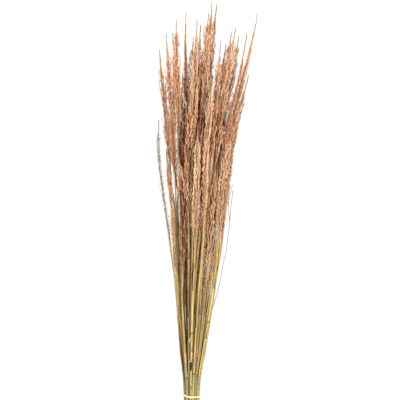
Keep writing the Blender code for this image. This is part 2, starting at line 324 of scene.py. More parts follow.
def corners_and_faces(thing):
    """Take a modelled object's corners and faces, and remove the object."""
    corners = corners_of(thing.data)
    faces = [tuple(face.vertices) for face in thing.data.polygons]
    bpy.data.objects.remove(thing)
    return corners, faces


class Pile:
    """Copies of shapes, gathered into one mesh with what its materials read from it."""

    def __init__(self):
        self.corners = []
        self.faces = []
        self.slots = []
        self.values = {name: [] for name in VALUES}
        self.grain = []
        self.count = 0

    def add(self, way, corners, faces, slot, tone, along, mark, grain):
        """Lay straight work on its stalk's way, with the values that its material reads."""
        amount = len(corners)
        level = corners[:, 1] + way.cut
        self.corners.append(way.laid(corners))
        self.faces.append(np.asarray(faces) + self.count)
        self.slots.append(np.full(len(faces), slot))
        rise = np.clip((level - way.head) / (way.tip - way.head), 0.0, 1.0)
        buried = way.at(np.maximum(way.buried, way.dark), level)
        for name, value in zip(VALUES, (tone, along, mark, rise, buried)):
            self.values[name].append(np.broadcast_to(value, amount))
        self.grain.append(grain)
        self.count += amount

    def build(self, name, materials):
        corners = np.concatenate(self.corners) * MM
        sizes = np.concatenate([np.full(len(faces), faces.shape[1]) for faces in self.faces])
        loops = np.concatenate([faces.ravel() for faces in self.faces])
        mesh = bpy.data.meshes.new(name)
        mesh.vertices.add(len(corners))
        mesh.vertices.foreach_set("co", corners.ravel().astype(np.float32))
        mesh.loops.add(len(loops))
        mesh.loops.foreach_set("vertex_index", loops.astype(np.int32))
        mesh.polygons.add(len(sizes))
        starts = np.concatenate([[0], np.cumsum(sizes)[:-1]])
        mesh.polygons.foreach_set("loop_start", starts.astype(np.int32))
        mesh.polygons.foreach_set("material_index", np.concatenate(self.slots).astype(np.int32))
        for key, parts in self.values.items():
            layer = mesh.attributes.new(key, "FLOAT", "POINT")
            layer.data.foreach_set("value", np.concatenate(parts).astype(np.float32))
        layer = mesh.attributes.new("grain", "FLOAT_VECTOR", "POINT")
        layer.data.foreach_set("vector", np.concatenate(self.grain).ravel().astype(np.float32))
        mesh.update(calc_edges=True)
        mesh.shade_smooth()
        for material in materials:
            mesh.materials.append(material)
        thing = bpy.data.objects.new(name, mesh)
        bpy.context.scene.collection.objects.link(thing)
        return thing


# The way of each stalk, read from its solid

class Way:
    """Where a stalk's solid runs: its middle and its thickness at every height."""

    STEP = 5.0
    ENDS = (0.4, 0.5)  # the cuts through the solid stay this far inside its ends
    FACETED = 0.955  # mean radius of a many-sided stem, as a share of its corners' radius
    CALM_STEPS = 5  # either side
    CALM_EASE = 20.0
    RELIEF_STEPS = 3  # either side

    def __init__(self, name):
        triangles = triangles_of(frame["nodes"][name].data)
        self.name = name
        self.cut = triangles[..., 1].min()
        self.tip = triangles[..., 1].max()
        self.levels = np.arange(self.cut + self.ENDS[0], self.tip - self.ENDS[1], self.STEP)
        cuts = [self.slice(triangles, level) for level in self.levels]
        middles = np.array([middle for middle, _, _ in cuts])
        mean = np.array([radius for _, radius, _ in cuts])
        greatest = np.array([radius for _, _, radius in cuts])
        lowest, highest = self.tip - HEAD_LENGTHS[1], self.tip - HEAD_LENGTHS[0]
        near = (self.levels > lowest) & (self.levels < highest)
        self.head = self.levels[near][mean[near].argmin()]
        self.right = self.calm(middles[:, 0])
        self.above = self.calm(middles[:, 1])
        self.thickness = mean / self.FACETED
        self.reach = self.head_reach(greatest)
        if name in EDGE_HEADS:
            self.right -= EDGE_SHIFT * np.clip((self.levels - self.head) / EDGE_EASE, 0.0, 1.0)
        if name == LEANING_HEAD:
            self.right += np.interp(self.levels, LEAN_SPAN, (0.0, LEAN, LEAN, 0.0))
        self.buried = np.zeros(len(self.levels))
        # The darker heads' span joins the bundle's depth, which the materials darken as painted shade
        darkness = DARK_DEPTH if name in DARK_HEADS else 0.0
        self.dark = darkness * np.interp(self.levels, DARK_SPAN, (0.0, 1.0, 1.0, 0.0))

    def head_reach(self, greatest):
        """How far the head reaches out from its stem: as its solid does, but narrower at the foot."""
        padded = np.pad(greatest, self.RELIEF_STEPS, mode="edge")
        window = np.lib.stride_tricks.sliding_window_view(padded, 2 * self.RELIEF_STEPS + 1)
        above_foot = np.interp(self.levels - self.head, (0.0, FOOT_LENGTH), (FOOT_SHARE, 1.0))
        reach = self.shouldered(window.max(axis=1)) * above_foot
        narrow = self.name == STRAY or self.name in EDGE_HEADS
        return np.minimum(reach, NARROW_REACH) if narrow else reach

    def shouldered(self, reach):
        """Narrow the solid's cone to a wisp at the very tip, and fill it out to a shoulder below."""
        below = self.tip - self.levels
        wisp = WISP_REACH + WISP_SLOPE * below
        if self.name in SLIM_HEADS:
            start, slope = SLIM_WIDENS
            return np.minimum(reach, wisp + slope * np.maximum(below - start, 0.0))
        start, slope = BLUNT_SHOULDER if self.name in BLUNT_HEADS else SHOULDER
        shoulder = np.maximum(reach, np.clip(slope * (below - start), 0.0, HEAD_REACH))
        shoulder = np.where(self.levels > self.head + SHOULDER_LOWEST, shoulder, reach)
        thin = below < start + WISP_SHARE * (WISP_LENGTH - start)
        return np.where(thin, np.minimum(reach, wisp), shoulder)

    @staticmethod
    def slice(triangles, level):
        """Middle, mean radius and greatest radius of a cut through the solid."""
        points = []
        for first, second in ((0, 1), (1, 2), (2, 0)):
            a, b = triangles[:, first], triangles[:, second]
            crossing = (a[:, 1] - level) * (b[:, 1] - level) < 0.0
            a, b = a[crossing], b[crossing]
            share = (level - a[:, 1:2]) / (b[:, 1:2] - a[:, 1:2])
            points.append((a + share * (b - a))[:, [0, 2]])
        points = np.concatenate(points)
        middle = points.mean(axis=0)
        radii = np.linalg.norm(points - middle, axis=1)
        return middle, radii.mean(), radii.max()

    def calm(self, values):
        """Even out the jitter that the relief of the seed head gives the middle."""
        window = 2 * self.CALM_STEPS + 1
        padded = np.pad(values, self.CALM_STEPS, mode="reflect", reflect_type="odd")
        wide = np.convolve(padded, np.ones(window) / window, "valid")
        share = np.clip((self.levels - self.head) / self.CALM_EASE, 0.0, 1.0)
        return values * (1.0 - share) + wide * share

    def at(self, values, level):
        """One of the way's values, such as its reach, at a height or at many."""
        return np.interp(level, self.levels, values)

    def laid(self, corners):
        """Move straight work, whose heights start at the cut end, onto the stalk's way."""
        level = corners[:, 1] + self.cut
        moved = corners.copy()
        moved[:, 0] += self.at(self.right, level)
        moved[:, 1] = level
        moved[:, 2] += self.at(self.above, level)
        low = np.minimum(moved[:, 2], FLOOR_GAP)
        moved[:, 2] = np.maximum(moved[:, 2], FLOOR_GAP) * np.exp((low - FLOOR_GAP) / FLOOR_SOFTNESS)
        return moved

    def greener(self, tones):
        """Shift the stem's tones: the stems along the bundle's right side have stayed greener, and those
        along
        its left side are painted paler: partly paler straw, partly painted light against the shade of the
        heads above.
        """
        side = (self.at(self.right, GREEN_SIDE[1]) - GREEN_SIDE[0]) / GREEN_WIDTH
        share = GREEN_SHARE * np.clip(side, 0.0, 1.0)
        shift, widths = PALE_EDGE
        return tones * (1.0 - share) + GREEN_TONE * share - shift * np.clip(side, -widths, 0.0)

    def browner(self):
        """Shift of the head's tone: the heads along the bundle's right side have browned more."""
        return -BROWN_SHIFT * np.clip(self.right[-1] / BROWN_WIDTH, BROWN_LEAST, 1.0)

    def beside(self, places, lift):
        """Turn (right, up) places on the surface into straight work, lifted off the stem's middle."""
        right, up = np.array(places, float).T
        return np.stack([right - self.at(self.right, up), up - self.cut,
                         np.broadcast_to(lift, len(up))], axis=1)


def bury(ways):
    """Work out how deep inside the bundle each stalk runs: 0 at its skin, 1 at its middle. The materials
    darken the stalks by it as painted shade.
    """
    few, many = CROWD
    middle, less = BURIED
    for height in np.arange(*BURY_SPAN, BURY_STEP):
        here = [way for way in ways if way.cut < height < way.tip]
        if len(here) < few:
            continue
        places = np.array([(way.at(way.right, height), way.at(way.above, height)) for way in here])
        outward = places - (places.min(axis=0) + places.max(axis=0)) / 2.0
        crowd = min(1.0, (len(here) - few) / (many - few))
        for way, own, distance in zip(here, outward, np.linalg.norm(outward, axis=1)):
            hull = (outward @ own).max() / max(distance, 1e-6) + SKIN
            near = np.abs(way.levels - height) <= BURY_STEP / 2.0
            way.buried[near] = np.clip(middle - less * distance / hull, 0.0, 1.0) * crowd
    for way in ways:
        way.buried *= np.clip((way.levels - way.cut) / OPEN_END, 0.0, 1.0)
        way.buried *= np.interp(way.levels, AIRY_TOP, (1.0, AIRY_SHARE))
        if way.name in DAYLIT_STEMS:
            way.buried *= np.interp(way.levels, DAYLIT_SPAN, (1.0, DAYLIT_SHARE))


def uppermost(ways, place, width):
    """The stalk that lies highest within a width of a (right, up) place."""
    right, up = place
    near = [way for way in ways if abs(way.at(way.right, up) - right) < width]
    return max(near, key=lambda way: way.at(way.above, up))


# Shapes that repeat, each modelled once

def model_spikelet():
    """A closed lance-shaped spikelet, 1 long and 1 wide, standing on its stalk end."""
    deselect()
    lying = (-math.pi / 2.0, 0.0, 0.0)
    bpy.ops.mesh.primitive_uv_sphere_add(segments=4, ring_count=3, radius=0.5, rotation=lying)
    thing = bpy.context.object
    bpy.ops.object.transform_apply(location=False, rotation=True, scale=False)
    edit(thing)
    bpy.ops.mesh.select_mode(type="VERT")
    bpy.ops.transform.translate(value=(0.0, 0.5, 0.0))
    for low, high, width in SPIKELET_RINGS:
        bpy.ops.mesh.select_all(action="DESELECT")
        bpy.ops.object.mode_set(mode="OBJECT")
        for vertex in thing.data.vertices:
            vertex.select = low < vertex.co.y < high
        bpy.ops.object.mode_set(mode="EDIT")
        bpy.ops.transform.resize(value=(width, 1.0, width), center_override=(0.0, 0.0, 0.0))
    bpy.ops.mesh.select_all(action="SELECT")
    bpy.ops.mesh.quads_convert_to_tris()
    bpy.ops.object.mode_set(mode="OBJECT")
    return corners_and_faces(thing)


def turned(profile, sides):
    """Turn a profile of (radius, height) points about the Y axis into a closed solid."""
    mesh = bpy.data.meshes.new("profile")
    edges = [(i, i + 1) for i in range(len(profile) - 1)]
    mesh.from_pydata([(radius, height, 0.0) for radius, height in profile], edges, [])
    thing = bpy.data.objects.new("profile", mesh)
    bpy.context.scene.collection.objects.link(thing)
    edit(thing)
    bpy.ops.mesh.spin(steps=sides, angle=math.tau, center=(0.0, 0.0, 0.0), axis=(0.0, 1.0, 0.0))
    bpy.ops.mesh.select_all(action="SELECT")
    bpy.ops.mesh.remove_doubles(threshold=WELD)
    bpy.ops.mesh.normals_make_consistent(inside=False)
    bpy.ops.mesh.quads_convert_to_tris()
    bpy.ops.object.mode_set(mode="OBJECT")
    return corners_and_faces(thing)


def ribbon(middles, halves, outward):
    """Closed thin ribbon, folded along its midrib, through middles with the given half widths."""
    amount = len(middles)
    onward = np.gradient(middles, axis=0)
    aside = np.cross(outward, onward)
    aside /= np.linalg.norm(aside, axis=1, keepdims=True)
    edges = halves[:, None] * aside
    fold = RIBBON_FOLD * halves[:, None] * outward
    thick = RIBBON_THICKNESS / 2.0 * outward
    rings = [middles - edges - fold, middles + thick, middles + edges - fold, middles - thick]
    rings = np.stack(rings, axis=1)
    faces = []
    for index in range(amount - 1):
        for corner in range(4):
            a, b = 4 * index + corner, 4 * index + (corner + 1) % 4
            faces += [(a, b, b + 4), (a, b + 4, a + 4)]
    last = 4 * (amount - 1)
    faces += [(0, 2, 1), (0, 3, 2), (last, last + 1, last + 2), (last, last + 2, last + 3)]
    return rings.reshape(-1, 3), faces


# One stalk's stem and leaves

def joints_of(way, rng):
    """Heights of a culm's joints above its cut end, and how far the sheath above each one reaches."""
    joints = []
    length = way.head - way.cut
    top = length - NECK_LENGTH
    level = min(rng.uniform(*FIRST_JOINT), top - JOINT_MARGIN)
    while level < top:
        spacing = rng.uniform(*JOINT_SPACING)
        end = min(level + spacing * rng.uniform(*SHEATH_COVERS), length - SHEATH_MARGIN)
        joints.append((level, end))
        level += spacing
    return joints


def culm_profile(way, joints, slim):
    """Profile of a hollow cut stem with swollen joints and stepped sheaths, up to the head's tip."""
    def outer(level):
        return float(way.at(way.thickness, level + way.cut))

    base, length = outer(0.0), way.head - way.cut
    bore = base * BORE_SHARE
    profile = [(0.0, BORE_DEPTH), (bore, BORE_DEPTH), (bore, BORE_LIP), (base * RIM_SHARE, 0.0)]
    shape = [(RIM_HEIGHT, 1.0)]
    for index, (level, end) in enumerate(joints):
        shape += [(level + step, share) for step, share in JOINT_PROFILE]
        shape += [(end + step, share) for step, share in SHEATH_PROFILE]
        next_joint = joints[index + 1][0] if index + 1 < len(joints) else length
        if next_joint - end > BARE_LEAST:
            shape.append((next_joint - JOINT_MARGIN, BARE_SHARE))
    levels, shares = zip(*sorted(shape))
    rings = [level for level in np.arange(RING_SPACING / 2.0, length, RING_SPACING)
             if min(abs(level - other) for other in levels) > RING_SPACING / 4.0]
    for level in sorted([*levels, *rings]):
        if level < length - 1.0:
            profile.append((outer(level) * float(np.interp(level, levels, shares)), level))
    neck = outer(length)
    total = way.tip - way.cut + TIP_OVERHANG
    for share in np.linspace(0.0, 1.0, AXIS_RINGS)[:-1]:
        radius = neck * (1.0 - share) ** AXIS_TAPER * AXIS_SHARE * slim + AXIS_RADIUS
        profile.append((radius, length + share * (total - length)))
    profile.append((0.0, total - 0.2))
    return profile


def add_culm(pile, way, look, rng):
    """The stem with its sheaths, from the hollow cut end to the thread in the head's tip."""
    joints = joints_of(way, rng)
    corners, faces = turned(culm_profile(way, joints, look.get("slim", 1.0)), CULM_SIDES)
    level = corners[:, 1]
    tones = way.greener(rng.normal(look["stem"], STEM_VARIES, len(joints) + 2))
    starts = np.array([0.0] + [joint for joint, _ in joints])
    # Painted light: above the start of their span, the daylit stems are painted no darker than this tone
    if way.name in DAYLIT_STEMS:
        upper = np.append(starts + way.cut > DAYLIT_SPAN[0], True)
        tones = np.where(upper, np.maximum(tones, DAYLIT_TONE), tones)
    tone = tones[np.searchsorted(starts, level + 0.01) - 1]
    tone = np.clip(tone, *STEM_TONES) + np.interp(level, FOOT_HEIGHTS, FOOT_TONES)
    mark = np.zeros(len(level))
    for joint, end in joints:
        mark[np.abs(level - joint) < JOINT_HALF] = rng.uniform(*JOINT_MARKS)
        mark[(level > end) & (level < end + SHEATH_EDGE[0])] = SHEATH_EDGE[1]
    # Painted shade: the inside of the bore at the cut end is darkened
    inside = (np.hypot(corners[:, 0], corners[:, 2]) < BORE_REACH) & (level <= BORE_DEPTH + 0.1)
    mark[inside] = BORE_SHADE
    below, over = RIPENS
    ripe = np.clip((level - (way.head - way.cut - below)) / over, 0.0, look.get("ripe", 1.0))
    grain = corners / FIBRE_STRETCH + rng.uniform(0.0, GRAIN_SHIFT, 3)
    pile.add(way, corners, faces, STRAW, tone, ripe, mark, grain)
    return joints


def add_blade(pile, way, start, length, side, rng):
    """A dried leaf blade that leaves a sheath and lies up along the stem."""
    share = np.linspace(0.0, 1.0, BLADE_STEPS)
    length = min(length, way.tip - way.cut - start - BLADE_MARGIN)
    level = start + share * length
    base, tip = BLADE_HALVES
    half = rng.uniform(*BLADE_WIDTHS) * np.minimum(base + BLADE_WIDENS * share, 1.0)
    half = half * (1.0 - share) ** BLADE_TAPER + tip
    furthest, gap = BLADE_SEAT
    stem = way.at(way.thickness, level + way.cut)
    out = np.minimum(stem, furthest) + gap + BLADE_LIFT * rng.uniform(*LIFT_VARIES) * share
    turn = side + rng.uniform(-BLADE_TWIST, BLADE_TWIST) * share
    turn = turn + BLADE_WAVE * np.sin(share * rng.uniform(*BLADE_WAVES))
    outward = np.stack([np.cos(turn), np.zeros(BLADE_STEPS), np.sin(turn)], axis=1)
    middles = out[:, None] * outward + level[:, None] * np.array((0.0, 1.0, 0.0))
    corners, faces = ribbon(middles, half, outward)
    grain = corners / FIBRE_STRETCH + rng.uniform(0.0, GRAIN_SHIFT, 3)
    tone = way.greener(rng.choice(BLADE_TONES) + rng.normal(0.0, BLADE_VARIES))
    pile.add(way, corners, faces, STRAW, tone, BLADE_RIPE, 0.0, grain)


# One stalk's seed head

def branch_plan(way, rng):
    """Start, length, side and outward spread of each branch of a seed head."""
    span = way.tip - way.head
    starts = np.arange(0.0, span * BRANCHED_SHARE, BRANCH_SPACING)
    amount = len(starts)
    starts = starts + rng.uniform(-BRANCH_JITTER, BRANCH_JITTER, amount)
    share = np.clip(starts / span, 0.0, 1.0)
    longest, shortest = BRANCH_LENGTHS
    lengths = shortest + (longest - shortest) * (1.0 - share) ** BRANCH_SHORTENS
    lengths = np.minimum(lengths * rng.uniform(*BRANCH_VARIES, amount), span - starts - 1.0)
    sides = np.arange(amount) * GOLDEN_ANGLE + rng.uniform(-BRANCH_TURN, BRANCH_TURN, amount)
    spread = rng.uniform(*BRANCH_SPREADS, amount)
    tight, less = TIGHT_BRANCHES
    spread = np.where(rng.uniform(0.0, 1.0, amount) < tight, spread * less, spread)
    return zip(starts, lengths, sides, spread)


def on_branch(way, branch, share):
    """Place at a share of a branch: it leaves the stem and then runs up beside it."""
    start, length, side, spread = branch
    level = way.head - way.cut + start + length * share
    reach = way.at(way.reach, level + way.cut) - SPIKELET_HALF
    reach = reach * (1.0 + BURIED_SPREAD * way.at(way.buried, level + way.cut))
    out = np.maximum(reach, BRANCH_NEAREST) * spread * (1.0 - (1.0 - share) ** BRANCH_BOW)
    return np.stack([out * np.cos(side), level, out * np.sin(side)], axis=-1)


def add_thread(pile, way, points, tone, radius=THREAD_RADIUS, taper=(1.0, THREAD_TAPER),
               slot=CHAFF, mark=0.5):
    """A thin three-sided branch through the given points."""
    amount = len(points)
    radii = np.linspace(taper[0] * radius, taper[1] * radius, amount)
    turns = math.tau * np.arange(3) / 3.0
    ring = np.stack([np.cos(turns), np.zeros(3), np.sin(turns)], axis=1)
    corners = (points[:, None] + radii[:, None, None] * ring).reshape(-1, 3)
    faces = []
    for index in range(amount - 1):
        for side in range(3):
            a, b = 3 * index + side, 3 * index + (side + 1) % 3
            faces += [(a, a + 3, b + 3), (a, b + 3, b)]
    last = 3 * (amount - 1)
    faces += [(0, 1, 2), (last, last + 2, last + 1)]
    pile.add(way, corners, faces, slot, tone, THREAD_RIPE, mark, corners / FIBRE_STRETCH)


def turned_towards(directions, rolls):
    """Rotation that points +Y along each direction, rolled about it."""
    y = directions / np.linalg.norm(directions, axis=1, keepdims=True)
    helper = np.stack([np.cos(rolls), np.zeros(len(rolls)), np.sin(rolls)], axis=1)
    x = helper - (helper * y).sum(axis=1, keepdims=True) * y
    x /= np.linalg.norm(x, axis=1, keepdims=True)
    return np.stack([x, y, np.cross(x, y)], axis=2)


def add_spikelets(pile, way, spikelet, places, directions, tones, sizes, rng):
    """Copy the spikelet to every place. Those nearer to the stem are marked as deeper in the head,
    which their material darkens as painted shade.
    """
    shape, faces = spikelet
    turns = turned_towards(directions, rng.uniform(0.0, math.tau, len(places)))
    scaled = shape * SPIKELET_SIZE
    corners = np.einsum("nij,mj->nmi", turns, scaled) * sizes[:, None, None] + places[:, None]
    corners = corners.reshape(-1, 3)
    steps = np.arange(len(places)) * len(shape)
    triangles = (np.array(faces)[None] + steps[:, None, None]).reshape(-1, 3)
    level = corners[:, 1] + way.cut
    reach = np.maximum(way.at(way.reach, level), LEAST_REACH)
    depth = np.clip(1.0 - np.hypot(corners[:, 0], corners[:, 2]) / reach, 0.0, 1.0)
    depth *= np.interp(level, AIRY_HEADS, (1.0, AIRY_DEPTH))
    along = np.tile(shape[:, 1], len(places))
    tones = np.repeat(tones, len(shape))
    pile.add(way, corners, triangles, CHAFF, tones, along, depth, corners / HUSK_STRETCH)


def add_plume(pile, way, look, branch, rng):
    """One branch. Returns its spikelets' places, directions, tones and sizes."""
    start, length, side, _ = branch
    fullness = np.interp(start / (way.tip - way.head), (0.0, 1.0), look.get("fullness", (1.0, 1.0)))
    tone = rng.normal(look["chaff"] + way.browner(), HEAD_VARIES)
    add_thread(pile, way, on_branch(way, branch, np.linspace(0.0, 1.0, 4)), tone)
    amount = max(3, int(fullness * length / SPIKELET_SPACING))
    share = np.linspace(*SPIKELET_SPAN, amount) + rng.uniform(-PLUME_JITTER, PLUME_JITTER, amount)
    where = on_branch(way, branch, share)
    level = where[:, 1] + way.cut
    narrow = np.clip(way.at(way.reach, level) / FULL_REACH, LEAST_NARROW, 1.0)
    around = rng.normal(0.0, PLUME_SPREAD, (amount, 3)) * PLUME_STRETCH * narrow[:, None]
    lean = rng.uniform(0.0, SPIKELET_LEAN, amount)
    ahead = np.array((0.0, 1.0, 0.0)) + lean[:, None] * np.array((math.cos(side), 0.0, math.sin(side)))
    stray = rng.normal(0.0, 1.0, (amount, 3)) * (1.0, 0.0, 1.0) + around
    tones = tone + rng.normal(0.0, SPIKELET_VARIES, amount)
    sizes = rng.uniform(*SPIKELET_SIZES, amount) * (0.55 + 0.45 * narrow) * (0.7 + 0.3 * fullness)
    sizes = sizes * (1.0 + BURIED_GROWTH * way.at(way.buried, level))
    return where + around, ahead + SPIKELET_STRAYS * stray, tones, sizes


def add_loose_branch(pile, way, look, rng):
    """A branch that stands off the head. Returns what add_plume does, for three spikelets."""
    start = rng.uniform(0.0, LOOSE_HIGHEST) * (way.tip - way.head)
    length = rng.uniform(*LOOSE_LENGTHS)
    side = rng.uniform(0.0, math.tau)
    tone = rng.normal(look["chaff"] + LOOSE_PALER, LOOSE_VARIES)
    line = on_branch(way, (start, length, side, rng.uniform(*LOOSE_REACH)), np.linspace(0.0, 1.0, 5))
    add_thread(pile, way, line, tone)
    places = line[2:] + rng.normal(0.0, LOOSE_JITTER, (3, 3))
    directions = np.tile((LOOSE_LEAN * math.cos(side), 1.0, LOOSE_LEAN * math.sin(side)), (3, 1))
    return places, directions, np.full(3, tone), rng.uniform(*LOOSE_SIZES, 3)


def wisp(way, look, rng):
    """Spikelets close round the stem's tip. Returns what add_plume does."""
    amount = int(WISP_LENGTH / WISP_SPACING)
    tip = way.tip - way.cut
    level = np.linspace(tip - WISP_LENGTH, tip - WISP_END + TIP_OVERHANG, amount)
    side = np.arange(amount) * WISP_TURN
    places = np.stack([WISP_RADIUS * np.cos(side), level, WISP_RADIUS * np.sin(side)], axis=1)
    directions = np.stack([WISP_LEAN * np.cos(side), np.ones(amount), WISP_LEAN * np.sin(side)], axis=1)
    tones = rng.normal(look["chaff"] + way.browner(), WISP_VARIES, amount)
    return places, directions, tones, np.linspace(*WISP_SIZES, amount)


def add_head(pile, way, look, spikelet, rng):
    """The seed head: plumes on its branches, a few loose branches, and a wisp at the stem's tip."""
    groups = [add_plume(pile, way, look, branch, rng) for branch in branch_plan(way, rng)]
    groups += [add_loose_branch(pile, way, look, rng) for _ in range(LOOSE_BRANCHES)]
    groups.append(wisp(way, look, rng))
    add_spikelets(pile, way, spikelet, *(np.concatenate(parts) for parts in zip(*groups)), rng)


# Loose bits

def add_hair(pile, way, spikelet, rng):
    """A hair-fine side shoot that stands clear of the bundle, with a twig and a few spikelets on it."""
    hair_lift, twig_lift = HAIR_LIFTS
    foot = np.array((0.0, HAIR[0][1] - HAIR_ROOT - way.cut, 0.0))
    stem = np.vstack([foot, way.beside(HAIR, np.linspace(0.0, hair_lift, len(HAIR)))])
    twig = way.beside(HAIR_TWIG, twig_lift)
    for line, taper, mark in zip((stem, twig), (HAIR_TAPER, TWIG_TAPER), HAIR_MARKS):
        add_thread(pile, way, line, HAIR_TONE, HAIR_RADIUS, taper, STRAW, mark)
    amount = HAIR_SPIKELETS
    share = rng.uniform(*HAIR_BEARS, amount)
    steps = np.linspace(0.0, 1.0, len(twig))
    places = np.stack([np.interp(share, steps, twig[:, axis]) for axis in range(3)], axis=1)
    directions = np.array((0.2, 1.0, 0.0)) + rng.normal(0.0, 0.22, (amount, 3)) * (1.0, 0.0, 1.0)
    add_spikelets(pile, way, spikelet, places, directions, rng.normal(0.5, 0.1, amount),
                  rng.uniform(*HAIR_SIZES, amount), rng)


def add_strip(pile, way, places, lift, halves, tone, mark):
    """A flat strip of leaf that lies on top of a stalk."""
    middles = way.beside(places, lift)
    corners, faces = ribbon(middles, halves, np.tile((0.0, 0.0, 1.0), (len(middles), 1)))
    pile.add(way, corners, faces, STRAW, tone, 0.0, mark, corners / FIBRE_STRETCH)


def add_torn_bits(piles, ways):
    """Torn ends of leaf blades, and a sheath that has split open, with a dark strip of painted shade
    for the gap inside it.
    """
    for bit in BLADE_BITS:
        way = uppermost(ways, bit[1], BIT_RESTS)
        lift = way.at(way.thickness, bit[0][1]) + BIT_LIFT
        add_strip(piles[way.name], way, bit, lift, np.linspace(*BIT_HALVES, len(bit)), BIT_TONE, 0.0)
    way = uppermost(ways, SPLIT_SHEATH, SPLIT_RESTS)
    right, up = SPLIT_SHEATH
    share = np.linspace(-1.0, 1.0, SPLIT_STEPS)
    bow = np.sqrt(SPLIT_BLUNT - share ** 2)
    for offset, half, length, tone, mark, higher in SPLIT_STRIPS:
        places = np.stack([right + offset * bow, up + length * share], axis=1)
        lift = way.at(way.thickness, up) + SPLIT_LIFT + higher
        add_strip(piles[way.name], way, places, lift, half * bow, tone, mark)


# Materials

def add(material, kind, inputs=None, stops=None, **settings):
    """Add a node with its settings, its input values or links, and a ramp's colour stops."""
    node = material.node_tree.nodes.new(kind)
    for name, value in settings.items():
        setattr(node, name, value)
    for name, value in (inputs or {}).items():
        if isinstance(value, bpy.types.NodeSocket):
            material.node_tree.links.new(value, node.inputs[name])
        else:
            node.inputs[name].default_value = value
    for index, (place, colour) in enumerate(stops or ()):
        elements = node.color_ramp.elements
        element = elements[index] if index < 2 else elements.new(place)
        element.position = place
        element.color = linear(colour)
    return node


def carried(material, name):
    """A value that each corner carries."""
    return add(material, "ShaderNodeAttribute", attribute_name=name).outputs["Fac"]


def object_place(material):
    return add(material, "ShaderNodeTexCoord").outputs["Object"]


def noise(material, place, scale, detail):
    return add(material, "ShaderNodeTexNoise", {
        "Vector": place, "Scale": scale, "Detail": detail}).outputs["Fac"]


def ranged(material, value, start, end):
    """Map a value from one range to another, and keep it in there."""
    return add(material, "ShaderNodeMapRange", {
        "Value": value, "From Min": start[0], "From Max": start[1],
        "To Min": end[0], "To Max": end[1]}).outputs[0]


def toned(material, tone, pattern, amount, stops):
    """Colour of a tone that a pattern moves up and down."""
    moved = add(material, "ShaderNodeMath", {0: pattern, 1: amount, 2: tone}, operation="MULTIPLY_ADD")
    centred = add(material, "ShaderNodeMath", {0: moved.outputs[0], 1: amount / 2.0}, operation="SUBTRACT")
    return add(material, "ShaderNodeValToRGB", {"Fac": centred.outputs[0]}, stops=stops).outputs["Color"]


def tinted(material, colour, share, code, blend_type="MIX"):
    """Mix a share of a second colour in."""
    return add(material, "ShaderNodeMix", {"Factor": share, 6: colour, 7: linear(code)},
               data_type="RGBA", blend_type=blend_type).outputs[2]


def shaded(material, colour, value, saturation):
    return add(material, "ShaderNodeHueSaturation", {
        "Color": colour, "Value": value, "Saturation": saturation}).outputs["Color"]


def foot_to_top(material, start, end):
    """Map the height in the bundle, in metres from its middle, to a range."""
    height = add(material, "ShaderNodeSeparateXYZ", {0: object_place(material)})
    return ranged(material, height.outputs["Y"], start, end)


def new_material(name, roughness, sheen):
    material = bpy.data.materials.new(name)
    material.use_nodes = True
    shader = material.node_tree.nodes["Principled BSDF"]
    shader.inputs["Roughness"].default_value = roughness
    shader.inputs["Specular IOR Level"].default_value = sheen
    return material, shader


def finish(material, shader, colour, relief, roughness, strength, distance):
    """Join colour, uneven gloss and fine relief to the shader."""
    bump = add(material, "ShaderNodeBump", {"Height": relief, "Strength": strength, "Distance": distance})
    links = material.node_tree.links
    links.new(colour, shader.inputs["Base Color"])
    links.new(ranged(material, relief, (0.0, 1.0), roughness), shader.inputs["Roughness"])
    links.new(bump.outputs[0], shader.inputs["Normal"])
    return material


def dried_straw():
    """Grass culms and sheaths, hung up to dry.

    They give the eye a dull waxy straw colour, from brown through tan to olive and cream, with fine fibres
    that run along the stem, dark joints, and painted shade that darkens the stems deep inside the bundle,
    the bore of each cut end and a split sheath. The stems are darker towards the cut ends, and the tips
    have bleached.
    """
    material, shader = new_material("air-dried straw culm", 0.5, 0.3)
    tone, ripe, mark, rise, buried = [carried(material, name) for name in VALUES]
    grain = add(material, "ShaderNodeAttribute", attribute_name="grain").outputs["Vector"]
    # Fibres 0.8 mm wide and 38 mm long. The real ones are about 0.1 mm wide, too fine to show.
    fibres = noise(material, grain, 1.2, 4.0)
    # Weather stains 2 mm wide and 80 mm long, as they run on a real sheath
    stains = noise(material, grain, 0.55, 2.0)
    colour = toned(material, tone, stains, 0.6, STRAW_TONES)
    ripened = tinted(material, colour, ripe, "#B48C5C")
    bleached = tinted(material, ripened, ranged(material, rise, (0.8, 0.95), (0.0, 0.85)), "#CCB694")
    streak = ranged(material, fibres, (0.32, 0.68), (0.42, 1.2))
    # Darker towards the cut ends
    foot = foot_to_top(material, (-0.33, -0.1), (0.78, 1.0))
    shade = add(material, "ShaderNodeMath", {0: streak, 1: foot}, operation="MULTIPLY")
    streaked = shaded(material, bleached, shade.outputs[0], 1.04)
    # Dark marks: real at the joints and sheath edges, painted shade in the bore and in a split sheath
    marks_and_shade = tinted(material, streaked, mark, "#140B04")
    # Painted shade: stems deep inside the bundle, and the darker heads' span, are darkened towards a dark
    # brown
    shade_amount = add(material, "ShaderNodeMath", {0: buried, 1: 0.72}, operation="MULTIPLY")
    with_painted_shade = tinted(material, marks_and_shade, shade_amount.outputs[0], "#3E2412")
    return finish(material, shader, with_painted_shade, fibres, (0.42, 0.66), 0.35, 0.0004)


